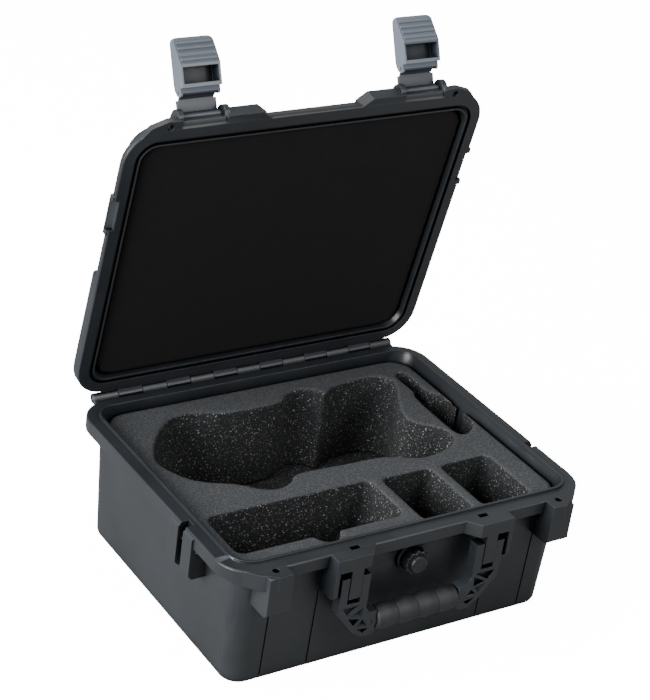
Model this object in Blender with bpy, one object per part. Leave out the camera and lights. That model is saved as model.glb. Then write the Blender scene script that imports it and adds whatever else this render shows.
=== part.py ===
"""Drone carrying case: moulded base and lid on a rod hinge, two draw latches, folding handle,
pressure valve, foam insert with pockets, lid foam and seal.

Metres, +Z up.  The case stands on its base with the lid open, front towards -Y.
Lengths are written in millimetres in the constants below and scaled by MM.
"""

import math

import bmesh
import bpy
from mathutils import Matrix, Vector

MM = 0.001

# ---- driving dimensions (mm) -------------------------------------------------------------
CASE_WIDTH = 300.0
CASE_DEPTH = 236.0
BASE_HEIGHT = 102.0
LID_HEIGHT = 27.0
PARTING_GAP = 0.4
FLANGE_HEIGHT = 10.5
LID_FLANGE_HEIGHT = 6.0
WALL = 3.0
CORNER_RADIUS = 26.0
SIDE_INSET = 11.8
FRONT_INSET = 9.3
DRAFT = 3.2
BODY_RADIUS = 22.0
BASE_RADIUS = 15.0
BOTTOM_EDGE = 3.6
FLANGE_EDGE = 0.8
LID_FLANGE_EDGE = 2.6
LID_EAR_HEIGHT = 5.0
SEAL_INSET = 9.4
SEAL_WIDTH = 2.0
SEAL_GROOVE_DEPTH = 4.0
TONGUE_HEIGHT = 1.8

LID_OPEN_ANGLE = math.radians(77.7)
LINK_OPEN_ANGLE = math.radians(125.0)

HINGE_RADIUS = 3.8
HINGE_ROD_RADIUS = 1.5
KNUCKLE_COUNT = 13
KNUCKLE_PITCH = 20.5
KNUCKLE_GAP = 0.5
KNUCKLE_ARC_STEPS = 10

FRONT_BLOCK_PROJECTION = 9.5
LID_BLOCK_PROJECTION = 5.6
BRACKET_INNER_X = 46.0
BRACKET_OUTER_X = 74.0
EAR_INNER_X = 109.0
PADLOCK_HOLE_RADIUS = 2.6

LATCH_X = 91.5
LATCH_LEVER_WIDTH = 31.0
LATCH_LEVER_WALL = 1.6
LATCH_LINK_LENGTH = 16.3
LATCH_PIN_RADIUS = 1.1
LINK_EYE_RADIUS = 2.0
LINK_PLATE_OUTER = -6.2
LINK_PLATE_INNER = -4.2
LINK_WIDE_BOTTOM = 5.2
LEVER_FACE = 6.4
RIDGE_COUNT = 4
RIDGE_SPACING = 4.2

STRAP_LUGS = ((-65.0, -53.0), (-46.0, -34.0))
STRAP_LUG_BOTTOM = 66.5
STRAP_LUG_TOP = 100.0
STRAP_PIN_RADIUS = 1.8
STRAP_PIN_X = 146.0
STRAP_PIN_Z = 88.0

HANDLE_PIVOT_Z = 81.0
HANDLE_FORK_X = 56.5
HANDLE_PIN_RADIUS = 1.6
GRIP_HALF_LENGTH = 34.0
GRIP_HALF_HEIGHT = 9.5
GRIP_HALF_DEPTH = 8.6
HANDLE_HALF_DEPTH = 4.3
GRIP_Z = 43.0
CORE_HALF_Y = 5.0
CORE_HALF_Z = 6.0

VALVE_Z = 77.0
VALVE_STEM_RADIUS = 6.0
VALVE_FLANGE_RADIUS = 11.5
FOAM_TOP = 96.0
FOAM_PAD_TOP = 26.0
FIT_GAP = 0.3

# ---- values worked out from them ----------------------------------------------------------
HALF_X = CASE_WIDTH / 2
HALF_Y = CASE_DEPTH / 2
LID_BOTTOM = BASE_HEIGHT + PARTING_GAP
LID_TOP = BASE_HEIGHT + LID_HEIGHT
FLANGE_BOTTOM = BASE_HEIGHT - FLANGE_HEIGHT
LID_FLANGE_TOP = LID_BOTTOM + LID_FLANGE_HEIGHT
LID_BLOCK_TOP = LID_BOTTOM + FLANGE_HEIGHT
HINGE_Y = HALF_Y + 4.2
HINGE_Z = BASE_HEIGHT + PARTING_GAP / 2
BODY_FRONT_Y = -(HALF_Y - FRONT_INSET)
BLOCK_FRONT_Y = -(HALF_Y + FRONT_BLOCK_PROJECTION)
LINK_PIVOT_Y = -(HALF_Y + 3.4)
LINK_PIVOT_Z = LID_BOTTOM + 7.9
LEVER_PIVOT_Z = LINK_PIVOT_Z - LATCH_LINK_LENGTH
HANDLE_PIVOT_Y = -(HALF_Y + 4.6)
STRAP_LUG_FACE_X = HALF_X + 1.5
VALVE_FACE_Y = -HALF_Y + FRONT_INSET - 0.4
ARC_STEPS = 7


# ---- mesh helpers ---------------------------------------------------------------------------
def rounded_rectangle(half_x, half_y, radius, steps=ARC_STEPS):
    """Points of a rounded rectangle about the Z axis, counter-clockwise."""
    points = []
    for corner in range(4):
        sign_x = 1 if corner in (0, 3) else -1
        sign_y = 1 if corner in (0, 1) else -1
        for step in range(steps + 1):
            angle = math.radians(90 * corner + 90 * step / steps)
            x = sign_x * (half_x - radius) + radius * math.cos(angle)
            y = sign_y * (half_y - radius) + radius * math.sin(angle)
            points.append((x, y))
    return points


def circle(radius, segments, start=0.0):
    angles = [start + 2 * math.pi * i / segments for i in range(segments)]
    return [(radius * math.cos(a), radius * math.sin(a)) for a in angles]


def arc(centre, radius, start_deg, end_deg, steps):
    angles = [math.radians(start_deg + (end_deg - start_deg) * i / steps) for i in range(steps + 1)]
    return [(centre[0] + radius * math.cos(a), centre[1] + radius * math.sin(a)) for a in angles]


def to_object(bm, name):
    """Closes a bmesh (in mm) into an object in metres with outward normals."""
    bmesh.ops.remove_doubles(bm, verts=bm.verts, dist=1e-4)
    bmesh.ops.recalc_face_normals(bm, faces=bm.faces)
    bmesh.ops.scale(bm, vec=(MM, MM, MM), verts=bm.verts)
    mesh = bpy.data.meshes.new(name)
    bm.to_mesh(mesh)
    bm.free()
    obj = bpy.data.objects.new(name, mesh)
    bpy.context.scene.collection.objects.link(obj)
    return obj


def stacked_rings(name, rings):
    """Solid through a list of (x, y, z) rings, capped by its first and last ring."""
    bm = bmesh.new()
    loops = [[bm.verts.new(p) for p in ring] for ring in rings]
    for lower, upper in zip(loops, loops[1:]):
        for i in range(len(lower)):
            j = (i + 1) % len(lower)
            bm.faces.new((lower[i], lower[j], upper[j], upper[i]))
    bm.faces.new(loops[0])
    bm.faces.new(loops[-1])
    return to_object(bm, name)


def closed_ring(name, rings):
    """Solid through rings whose last one joins the first, such as a gasket."""
    bm = bmesh.new()
    loops = [[bm.verts.new(p) for p in ring] for ring in rings]
    for lower, upper in zip(loops, loops[1:] + loops[:1]):
        for i in range(len(lower)):
            j = (i + 1) % len(lower)
            bm.faces.new((lower[i], lower[j], upper[j], upper[i]))
    return to_object(bm, name)


def prism(name, outline, low, high, axis="z"):
    """Extrudes a 2-D outline between two values along an axis.

    axis x: outline is (y, z); axis y: outline is (x, z); axis z: outline is (x, y).
    """
    place = {
        "x": lambda a, b, t: (t, a, b),
        "y": lambda a, b, t: (a, t, b),
        "z": lambda a, b, t: (a, b, t),
    }[axis]
    rings = [[place(a, b, t) for a, b in outline] for t in (low, high)]
    return stacked_rings(name, rings)


def box(name, low, high):
    outline = [(low[0], low[1]), (high[0], low[1]), (high[0], high[1]), (low[0], high[1])]
    return prism(name, outline, low[2], high[2])


def disc(name, radius, low, high, axis, centre, segments=24):
    outline = [(centre[0] + a, centre[1] + b) for a, b in circle(radius, segments)]
    return prism(name, outline, low, high, axis)


def combine(target, others, operation):
    """Applies each of the other solids to the target and removes it."""
    for other in others:
        modifier = target.modifiers.new(operation.title(), "BOOLEAN")
        modifier.operation = operation
        modifier.solver = "EXACT"
        modifier.object = other
        depsgraph = bpy.context.evaluated_depsgraph_get()
        evaluated = target.evaluated_get(depsgraph)
        mesh = bpy.data.meshes.new_from_object(evaluated)
        target.modifiers.clear()
        old = target.data
        target.data = mesh
        bpy.data.meshes.remove(old)
        bpy.data.objects.remove(other)
    return target


def union(target, *others):
    return combine(target, others, "UNION")


def cut(target, *others):
    return combine(target, others, "DIFFERENCE")


def clean(obj):
    """Welds what a Boolean leaves behind and flattens needless edges."""
    bm = bmesh.new()
    bm.from_mesh(obj.data)
    bmesh.ops.remove_doubles(bm, verts=bm.verts, dist=2e-6)
    bmesh.ops.dissolve_degenerate(bm, edges=bm.edges, dist=2e-6)
    bm.to_mesh(obj.data)
    bm.free()
    return obj


def shade(obj, material, angle=35.0):
    obj.data.materials.clear()
    obj.data.materials.append(material)
    obj.data.shade_smooth()
    obj.data.set_sharp_from_angle(angle=math.radians(angle))
    return obj


def material(name, colour, roughness, metallic=0.0):
    mat = bpy.data.materials.new(name)
    mat.use_nodes = True
    shader = mat.node_tree.nodes["Principled BSDF"]
    shader.inputs["Base Color"].default_value = (*colour, 1.0)
    shader.inputs["Roughness"].default_value = roughness
    shader.inputs["Metallic"].default_value = metallic
    mat.diffuse_color = (*colour, 1.0)
    return mat


def pivot_empty(name, closed_at, parent=None, parent_at=(0.0, 0.0, 0.0), angle=0.0):
    """Empty on a joint axis; angle turns what hangs on it out of the closed case's pose."""
    empty = bpy.data.objects.new(name, None)
    bpy.context.scene.collection.objects.link(empty)
    empty.parent = parent
    empty.location = (Vector(closed_at) - Vector(parent_at)) * MM
    empty.rotation_euler = (-angle, 0.0, 0.0)
    return empty


def hang(obj, empty, closed_at):
    """Parents an object, modelled in the closed case's place, to its joint's empty."""
    obj.data.transform(Matrix.Translation(-Vector(closed_at) * MM))
    obj.parent = empty
    return obj


def case_ring(inset_x, inset_y, z, radius):
    points = rounded_rectangle(HALF_X - inset_x, HALF_Y - inset_y, radius)
    return [(x, y, z) for x, y in points]


def even_ring(inset, z):
    return case_ring(inset, inset, z, CORNER_RADIUS - inset)


def mirrored(outline, side):
    """The outline as given for the +X side, or its mirror image for side -1."""
    if side > 0:
        return outline
    return [(-x, y) for x, y in reversed(outline)]


def span(side, low, high):
    return (low, high) if side > 0 else (-high, -low)


# ---- shells -----------------------------------------------------------------------------------


def knuckle_edges(index):
    start = (index - KNUCKLE_COUNT / 2) * KNUCKLE_PITCH
    return start, start + KNUCKLE_PITCH


def knuckle(index, is_base):
    """One hinge knuckle with the web that joins it to its shell."""
    root_y = HALF_Y - 4.0
    web_depth = 8.0
    if is_base:
        curve = arc((HINGE_Y, HINGE_Z), HINGE_RADIUS, 178, -125, KNUCKLE_ARC_STEPS)
        web = [(root_y, BASE_HEIGHT - web_depth), (root_y, BASE_HEIGHT - 0.4)]
    else:
        curve = arc((HINGE_Y, HINGE_Z), HINGE_RADIUS, 182, 485, KNUCKLE_ARC_STEPS)
        web = [(root_y, LID_BOTTOM + web_depth), (root_y, LID_BOTTOM + 0.4)]
    left, right = knuckle_edges(index)
    return prism("knuckle", curve + web, left + KNUCKLE_GAP / 2, right - KNUCKLE_GAP / 2, "x")


def knuckle_clearance(index):
    left, right = knuckle_edges(index)
    centre = (HINGE_Y, HINGE_Z)
    reach = KNUCKLE_GAP / 2
    return disc("clearance", HINGE_RADIUS + 0.6, left - reach, right + reach, "x", centre, 20)


def add_knuckles(shell, is_base):
    own = [i for i in range(KNUCKLE_COUNT) if (i % 2 == 0) == is_base]
    other = [i for i in range(KNUCKLE_COUNT) if i not in own]
    cut(shell, *[knuckle_clearance(i) for i in other])
    union(shell, *[knuckle(i, is_base) for i in own])
    half = KNUCKLE_COUNT * KNUCKLE_PITCH / 2 + 1.0
    rod_hole = disc("rod_hole", HINGE_ROD_RADIUS + FIT_GAP, -half, half, "x", (HINGE_Y, HINGE_Z), 16)
    return cut(shell, rod_hole)


def bracket_outline(side, root, projection=FRONT_BLOCK_PROJECTION):
    y = -HALF_Y - projection
    points = [
        (37.0, -HALF_Y + root),
        (38.0, -HALF_Y + 0.5),
        (BRACKET_INNER_X, y),
        (BRACKET_OUTER_X, y),
        (BRACKET_OUTER_X, -HALF_Y + root),
    ]
    return mirrored(points, side)


def ear_outline(side, projection=FRONT_BLOCK_PROJECTION):
    y = -HALF_Y - projection
    points = [
        (EAR_INNER_X, -HALF_Y + 5.0),
        (EAR_INNER_X, y),
        (120.0, y - 0.8),
        (132.5, -HALF_Y - 2.0),
        (143.5, -HALF_Y + 10.5),
        (130.0, -HALF_Y + 8.5),
    ]
    return mirrored(points, side)


def padlock_hole(side, low, high):
    return disc("hole", PADLOCK_HOLE_RADIUS, low, high, "z", (side * 118.5, -HALF_Y - 1.5), 16)


def front_face_y(z):
    """Front of the drafted body at a height."""
    return BODY_FRONT_Y + DRAFT * (FLANGE_BOTTOM - z) / (FLANGE_BOTTOM - BOTTOM_EDGE)


def base_body():
    sx, sy = SIDE_INSET, FRONT_INSET
    bx, by = SIDE_INSET + DRAFT, FRONT_INSET + DRAFT
    edge = FLANGE_EDGE
    rings = [
        case_ring(bx + 3.6, by + 3.6, 0.0, 11.0),
        case_ring(bx + 1.1, by + 1.1, 1.0, 13.0),
        case_ring(bx, by, BOTTOM_EDGE, 14.0),
        case_ring(sx, sy, FLANGE_BOTTOM, BASE_RADIUS),
        even_ring(edge, FLANGE_BOTTOM),
        even_ring(0.0, FLANGE_BOTTOM + edge),
        even_ring(0.0, BASE_HEIGHT - edge),
        even_ring(edge, BASE_HEIGHT),
        even_ring(SEAL_INSET, BASE_HEIGHT),
        even_ring(SEAL_INSET + 0.2, BASE_HEIGHT + TONGUE_HEIGHT),
        even_ring(SEAL_INSET + SEAL_WIDTH, BASE_HEIGHT + TONGUE_HEIGHT),
        even_ring(SEAL_INSET + SEAL_WIDTH + 0.4, BASE_HEIGHT - 1.0),
        case_ring(sx + WALL, sy + WALL, FLANGE_BOTTOM - 2.0, BODY_RADIUS - WALL),
        case_ring(bx + WALL, by + WALL, 8.0, 18.0),
        case_ring(bx + WALL + 1.5, by + WALL + 1.5, 5.0, 16.0),
        case_ring(bx + WALL + 5.0, by + WALL + 5.0, 4.0, 12.0),
    ]
    return stacked_rings("base_shell", rings)


def strap_lug_parts(side):
    """Two lugs below the flange on one side, with the slot between them."""
    solids = []
    for low, high in STRAP_LUGS:
        outline = [
            (side * 136.4, STRAP_LUG_BOTTOM),
            (side * (STRAP_LUG_FACE_X - 3.0), STRAP_LUG_BOTTOM),
            (side * STRAP_LUG_FACE_X, STRAP_LUG_BOTTOM + 3.0),
            (side * STRAP_LUG_FACE_X, STRAP_LUG_TOP - 1.0),
            (side * (STRAP_LUG_FACE_X - 1.5), STRAP_LUG_TOP),
            (side * 137.4, STRAP_LUG_TOP),
        ]
        solids.append(prism("strap_lug", outline, low, high, "y"))
    return solids


def strap_slot(side):
    low_x, high_x = span(side, STRAP_PIN_X - 2.5, HALF_X + 5.0)
    return box("slot", (low_x, STRAP_LUGS[0][1], 50.0), (high_x, STRAP_LUGS[1][0], LID_TOP))


def front_details(side):
    """Blocks on the front flange of the base: handle bracket, padlock ear and their cheeks."""
    front = BLOCK_FRONT_Y
    body = BODY_FRONT_Y + 2.5
    cheek_bottom = 69.5
    lug_low, lug_high = span(side, HANDLE_FORK_X - 4.6, HANDLE_FORK_X + 4.6)
    out_low, out_high = span(side, BRACKET_OUTER_X - 3.0, BRACKET_OUTER_X)
    ear_low, ear_high = span(side, EAR_INNER_X, EAR_INNER_X + 18.0)
    cheek = [
        (body, cheek_bottom),
        (front + 3.0, cheek_bottom),
        (front, cheek_bottom + 3.0),
        (front, BASE_HEIGHT - 1.0),
        (body, BASE_HEIGHT - 1.0),
    ]
    lug = [
        (front + 9.0, 70.0),
        (front + 7.0, 66.5),
        (front + 1.5, 66.5),
        (front, 68.5),
        (front, BASE_HEIGHT - 2.0),
        (front + 9.0, BASE_HEIGHT - 2.0),
    ]
    return [
        prism("bracket", bracket_outline(side, 6.0), FLANGE_BOTTOM, BASE_HEIGHT - 0.05),
        prism("lug", lug, lug_low, lug_high, "x"),
        prism("cheek", cheek, out_low, out_high, "x"),
        prism("ear", ear_outline(side), BASE_HEIGHT - 12.0, BASE_HEIGHT - 0.1),
        prism("ear_cheek", cheek, ear_low, ear_high, "x"),
    ]


def groove(x, bottom=4.0):
    depth = 1.0
    outline = [
        (front_face_y(bottom) - 6.0, bottom),
        (front_face_y(bottom) + depth, bottom),
        (front_face_y(FLANGE_BOTTOM) + depth, FLANGE_BOTTOM - 0.2),
        (front_face_y(FLANGE_BOTTOM) - 6.0, FLANGE_BOTTOM - 0.2),
    ]
    return prism("groove", outline, x - 0.7, x + 0.7, "x")


def make_base_shell(colour):
    shell = base_body()
    cut(shell, *[groove(x) for x in (-111.0, -73.0, 73.0, 111.0)])
    for side in (-1, 1):
        union(shell, *front_details(side), *strap_lug_parts(side))
        low, high = span(side, 50.0, 58.0)
        cut(
            shell,
            padlock_hole(side, 54.0, LID_TOP),
            box("shelf_hole", (low, -HALF_Y, BASE_HEIGHT - 5.0), (high, -HALF_Y + 4.0, LID_TOP)),
            strap_slot(side),
            disc("pin_hole", STRAP_PIN_RADIUS + FIT_GAP, -66.0, -33.0, "y",
                 (side * STRAP_PIN_X, STRAP_PIN_Z), 14),
            disc("handle_pin_hole", HANDLE_PIN_RADIUS + FIT_GAP,
                 *span(side, HANDLE_FORK_X - 6.0, HANDLE_FORK_X + 6.0), "x",
                 (HANDLE_PIVOT_Y, HANDLE_PIVOT_Z), 14),
        )
    cut(shell, disc("valve_hole", VALVE_STEM_RADIUS + FIT_GAP, -HALF_Y, -HALF_Y + 20.0, "y",
                    (0.0, VALVE_Z), 20))
    add_knuckles(shell, True)
    return shade(clean(shell), colour)


def lid_body():
    sx, sy = SIDE_INSET, FRONT_INSET
    tx, ty = SIDE_INSET + DRAFT, FRONT_INSET + DRAFT
    edge = FLANGE_EDGE
    groove_outer = SEAL_INSET - 0.5
    groove_inner = SEAL_INSET + SEAL_WIDTH + 0.7
    rings = [
        case_ring(tx + 20.0, ty + 20.0, LID_TOP - 1.6, 10.0),
        case_ring(tx + 18.0, ty + 18.0, LID_TOP, 11.0),
        case_ring(tx + 5.5, ty + 5.5, LID_TOP, 16.0),
        case_ring(tx + 1.6, ty + 1.6, LID_TOP - 1.6, 19.0),
        case_ring(tx, ty, LID_TOP - 5.5, 21.0),
        case_ring(sx, sy, LID_FLANGE_TOP, BODY_RADIUS),
        even_ring(LID_FLANGE_EDGE, LID_FLANGE_TOP),
        even_ring(LID_FLANGE_EDGE * 0.3, LID_FLANGE_TOP - LID_FLANGE_EDGE * 0.3),
        even_ring(0.0, LID_FLANGE_TOP - LID_FLANGE_EDGE),
        even_ring(0.0, LID_BOTTOM + edge),
        even_ring(edge, LID_BOTTOM),
        even_ring(groove_outer, LID_BOTTOM),
        even_ring(groove_outer, LID_BOTTOM + SEAL_GROOVE_DEPTH),
        even_ring(groove_inner, LID_BOTTOM + SEAL_GROOVE_DEPTH),
        even_ring(groove_inner, LID_BOTTOM),
        even_ring(groove_inner + 1.3, LID_BOTTOM),
        case_ring(sx + WALL + 0.2, sy + WALL + 1.7, LID_BOTTOM + 8.0, BODY_RADIUS - WALL - 2.0),
        case_ring(tx + WALL, ty + WALL + 1.5, LID_TOP - 8.0, 18.0),
        case_ring(tx + WALL + 3.0, ty + WALL + 4.0, LID_TOP - 5.0, 14.0),
    ]
    return stacked_rings("lid_shell", rings)


def rear_flange():
    """Thicker flange round the lid's rear half, where it carries the hinge."""
    base = LID_BOTTOM
    rings = [
        even_ring(13.6, base + 4.6),
        even_ring(6.0, base + 4.6),
        even_ring(6.0, base + 3.0),
        even_ring(-0.02, base + 3.0),
        even_ring(-0.02, LID_BLOCK_TOP - LID_FLANGE_EDGE),
        even_ring(LID_FLANGE_EDGE * 0.3, LID_BLOCK_TOP - LID_FLANGE_EDGE * 0.3),
        even_ring(LID_FLANGE_EDGE, LID_BLOCK_TOP),
        even_ring(13.6, LID_BLOCK_TOP),
    ]
    front_half = box("front_half", (-HALF_X - 5.0, -HALF_Y - 5.0, base), (HALF_X + 5.0, 6.0, LID_TOP))
    return cut(closed_ring("rear_flange", rings), front_half)


def latch_lugs(side):
    """The two lugs that carry one latch, and the ledge that joins them below its pin."""
    centre = (LINK_PIVOT_Y, LINK_PIVOT_Z)
    curve = arc(centre, 5.8, 262, 98, 8)
    outline = curve + [
        (BODY_FRONT_Y + 2.0, LINK_PIVOT_Z + 9.0),
        (BODY_FRONT_Y + 2.0, LID_BOTTOM + 4.6),
        (-HALF_Y + 6.0, LID_BOTTOM + 4.6),
        (-HALF_Y + 6.0, LID_BOTTOM + 1.0),
    ]
    half = LATCH_LEVER_WIDTH / 2 + 0.5
    lugs = []
    for low, high in ((LATCH_X - half - 4.2, LATCH_X - half), (LATCH_X + half, LATCH_X + half + 4.2)):
        lugs.append(prism("lug", outline, *span(side, low, high), "x"))
    ledge_low, ledge_high = span(side, LATCH_X - half - 1.0, LATCH_X + half + 1.0)
    ledge = [
        (-HALF_Y + 3.0, LID_BOTTOM + 0.8),
        (-HALF_Y - 1.5, LID_BOTTOM + 0.8),
        (LINK_PIVOT_Y - 0.6, LID_BOTTOM + 2.4),
        (LINK_PIVOT_Y - 0.6, LINK_PIVOT_Z - LINK_EYE_RADIUS - 0.5),
        (-HALF_Y + 3.0, LINK_PIVOT_Z - LINK_EYE_RADIUS - 0.5),
    ]
    lugs.append(prism("ledge", ledge, ledge_low, ledge_high, "x"))
    return lugs


def make_lid_shell(colour):
    shell = union(lid_body(), rear_flange())
    top = LID_FLANGE_TOP - 0.1
    projection = LID_BLOCK_PROJECTION
    for side in (-1, 1):
        rib_low, rib_high = span(side, 127.0, 130.0)
        pad_x = span(side, HALF_X - 6.0, STRAP_LUG_FACE_X)
        pad_y = (STRAP_LUGS[0][0] - 1.0, STRAP_LUGS[1][1] + 1.0)
        rib_root = LID_BOTTOM + LID_EAR_HEIGHT - 1.0
        rib = [(-HALF_Y + 5.0, rib_root), (-HALF_Y - 2.0, rib_root), (-HALF_Y - 1.0, rib_root + 3.0),
               (-HALF_Y + 11.0, top + 6.0), (-HALF_Y + 11.0, top - 1.0)]
        union(
            shell,
            prism("block", bracket_outline(side, 6.0, projection), LID_BOTTOM + 0.05, LID_BOTTOM + 5.0),
            prism("block", bracket_outline(side, 10.5, projection), LID_BOTTOM + 4.6, LID_BLOCK_TOP),
            prism("ear", ear_outline(side, projection), LID_BOTTOM + 0.1, LID_BOTTOM + LID_EAR_HEIGHT),
            prism("ear_rib", rib, rib_low, rib_high, "x"),
            box("strap_pad", (pad_x[0], pad_y[0], LID_BOTTOM + 0.3), (pad_x[1], pad_y[1], top - 1.0)),
            *latch_lugs(side),
        )
        notch_x = span(side, HALF_X - 4.0, HALF_X + 5.0)
        half = LATCH_LEVER_WIDTH / 2 + 6.0
        cut(
            shell,
            padlock_hole(side, BASE_HEIGHT, LID_TOP),
            box("strap_notch", (notch_x[0], pad_y[0] + 4.0, BASE_HEIGHT),
                (notch_x[1], pad_y[1] - 4.0, top - 2.0)),
            disc("pin_hole", LATCH_PIN_RADIUS + 0.2, *span(side, LATCH_X - half, LATCH_X + half), "x",
                 (LINK_PIVOT_Y, LINK_PIVOT_Z), 12),
        )
    add_knuckles(shell, False)
    return shade(clean(shell), colour)


# ---- seal and foam ------------------------------------------------------------------------------
def make_lid_seal(colour):
    low, high = LID_BOTTOM + 1.9, LID_BOTTOM + SEAL_GROOVE_DEPTH - 0.2
    outer, inner = SEAL_INSET - 0.2, SEAL_INSET + SEAL_WIDTH + 0.4
    rings = [
        even_ring(outer, high),
        even_ring(outer, low + 0.6),
        even_ring((outer + inner) / 2, low),
        even_ring(inner, low + 0.6),
        even_ring(inner, high),
    ]
    return shade(closed_ring("lid_seal", rings), colour)


def make_lid_foam(colour):
    ix, iy = SIDE_INSET + WALL + 0.8, FRONT_INSET + WALL + 2.3
    rings = [
        case_ring(ix, iy, LID_BOTTOM + 2.5, 17.0),
        case_ring(ix, iy, LID_BOTTOM + 8.0, 17.0),
        case_ring(ix + DRAFT, iy + DRAFT, LID_TOP - 9.0, 16.0),
        case_ring(ix + DRAFT + 3.0, iy + DRAFT + 3.0, LID_TOP - 5.4, 13.0),
    ]
    return shade(stacked_rings("lid_foam", rings), colour)


def make_base_foam_pad(colour):
    ix, iy = SIDE_INSET + DRAFT + WALL + 0.5, FRONT_INSET + DRAFT + WALL + 0.5
    rings = [
        case_ring(ix + 5.0, iy + 5.0, 4.3, 11.5),
        case_ring(ix + 1.3, iy + 1.3, 5.6, 15.5),
        case_ring(ix, iy, 9.0, 17.0),
        case_ring(ix - 0.5, iy - 0.5, FOAM_PAD_TOP, 17.0),
    ]
    return shade(stacked_rings("base_foam_pad", rings), colour)


def smooth_outline(points, steps=3):
    """Closed Catmull-Rom curve through a few points."""
    count = len(points)
    result = []
    for i in range(count):
        p0, p1, p2, p3 = (Vector(points[(i + k - 1) % count]) for k in range(4))
        for step in range(steps):
            t = step / steps
            a = 2 * p1
            b = (p2 - p0) * t
            c = (2 * p0 - 5 * p1 + 4 * p2 - p3) * t ** 2
            d = (3 * p1 - p0 - 3 * p2 + p3) * t ** 3
            result.append(tuple((a + b + c + d) / 2))
    return result


def pocket_rectangle(low, high, radius=6.0):
    centre = ((low[0] + high[0]) / 2, (low[1] + high[1]) / 2)
    points = rounded_rectangle((high[0] - low[0]) / 2, (high[1] - low[1]) / 2, radius, 4)
    return [(centre[0] + x, centre[1] + y) for x, y in points]


DRONE_POCKET = [
    (-123, 31), (-119, 49), (-104, 70), (-86, 85), (-67, 87), (-48, 80), (-20, 77), (6, 79),
    (16, 87), (28, 90), (40, 86), (46, 78), (56, 84), (78, 88), (97, 87), (107, 77),
    (100, 59), (88, 38), (85, 21), (92, 11), (103, 1), (103, -12), (92, -22), (64, -27),
    (38, -16), (0, -14), (-36, -13), (-46, -21), (-60, -25), (-73, -19), (-84, -9), (-110, 6),
]
CABLE_POCKET = [
    (115, 82), (124, 83), (124, 52), (132, 42), (132, 6),
    (122, -8), (111, -8), (110, 20), (111, 48), (115, 58),
]
CONTROLLER_POCKET = ((-127.0, -86.0), (8.0, -40.0))
BATTERY_POCKETS = (((18.0, -97.0), (60.0, -42.0)), ((70.0, -97.0), (112.0, -42.0)))
FINGER_NOTCH = (-57.0, -86.0, 10.0)


def make_base_foam(colour):
    ix, iy = SIDE_INSET + WALL + 0.5, FRONT_INSET + WALL + 0.5
    low, high = FOAM_PAD_TOP - 10.0, FOAM_TOP + 10.0
    rings = [
        case_ring(ix + DRAFT, iy + DRAFT, FOAM_PAD_TOP + FIT_GAP, 17.0),
        case_ring(ix, iy, FLANGE_BOTTOM - 3.0, 18.0),
        case_ring(ix, iy, FOAM_TOP, 18.0),
    ]
    foam = stacked_rings("base_foam", rings)
    cut(
        foam,
        prism("drone", smooth_outline(DRONE_POCKET), low, high),
        prism("cable", smooth_outline(CABLE_POCKET), low, high),
        prism("controller", pocket_rectangle(*CONTROLLER_POCKET), low, high),
        disc("finger", FINGER_NOTCH[2], low, high, "z", FINGER_NOTCH[:2], 20),
        *[prism("battery", pocket_rectangle(*corners, 4.0), low, high) for corners in BATTERY_POCKETS],
        box("nut_space", (-11.0, -HALF_Y, VALVE_Z - 11.0), (11.0, -HALF_Y + 21.5, VALVE_Z + 11.0)),
    )
    return shade(clean(foam), colour)


# ---- latches ------------------------------------------------------------------------------------


def make_latch_link(name, x, colour):
    """Link plate with an eye round a pin at each end, narrowed where it runs into the lever."""
    top, bottom = LINK_PIVOT_Z, LEVER_PIVOT_Z
    y = LINK_PIVOT_Y
    outer, inner = y + LINK_PLATE_OUTER, y + LINK_PLATE_INNER
    step = bottom + LINK_WIDE_BOTTOM
    upper = arc((y, top), LINK_EYE_RADIUS, -100, 160, 10)
    upper += [(y - 3.2, top + 0.6), (y - 5.2, top - 0.6), (outer, top - 2.4), (outer, step),
              (inner, step), (inner, top - 3.0), (y - 2.6, top - 2.6)]
    lower = arc((y, bottom), LINK_EYE_RADIUS, 200, 460, 10)
    lower += [(y - 2.2, bottom + 2.8), (inner, bottom + 4.6), (inner, step + 0.4), (outer, step + 0.4),
              (outer, bottom + 5.0), (y - 4.4, bottom + 2.2), (y - 3.0, bottom + 0.6)]
    wide = LATCH_LEVER_WIDTH / 2 - 0.1
    narrow = LATCH_LEVER_WIDTH / 2 - LATCH_LEVER_WALL - FIT_GAP
    link = prism(name, upper, x - wide, x + wide, "x")
    union(link, prism("tongue", lower, x - narrow, x + narrow, "x"))
    for z in (top, bottom):
        cut(link, disc("hole", LATCH_PIN_RADIUS + 0.2, x - wide - 1.0, x + wide + 1.0, "x", (y, z), 12))
    return shade(clean(link), colour)


def lever_corner(x, side, tip):
    """What is taken off one corner of the lever's free end to round it."""
    radius = 3.6
    edge = LATCH_LEVER_WIDTH / 2
    curve = arc((edge - radius, tip + radius), radius, 0, -90, 5)
    outline = [(x + side * a, b) for a, b in curve + [(edge - radius, tip - 1.0), (edge + 1.0, tip - 1.0),
                                                      (edge + 1.0, tip + radius)]]
    return prism("corner", outline, LINK_PIVOT_Y - 10.0, LINK_PIVOT_Y + 10.0, "y")


def lever_ridges(x, start, end):
    """Rounded finger ridges across the sloped face of the lever."""
    slope = (Vector(end) - Vector(start)).normalized()
    normal = Vector((-slope.y, slope.x))
    half = LATCH_LEVER_WIDTH / 2 - 1.3
    ridges = []
    for i in range(RIDGE_COUNT):
        middle = Vector(start) + slope * (2.0 + RIDGE_SPACING * i)
        section = [middle + slope * along + normal * out
                   for along, out in ((-1.5, -0.8), (-0.9, 0.7), (0.0, 1.0), (0.9, 0.7), (1.5, -0.8))]
        ridges.append(prism("ridge", [tuple(p) for p in section], x - half, x + half, "x"))
    return ridges


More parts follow.
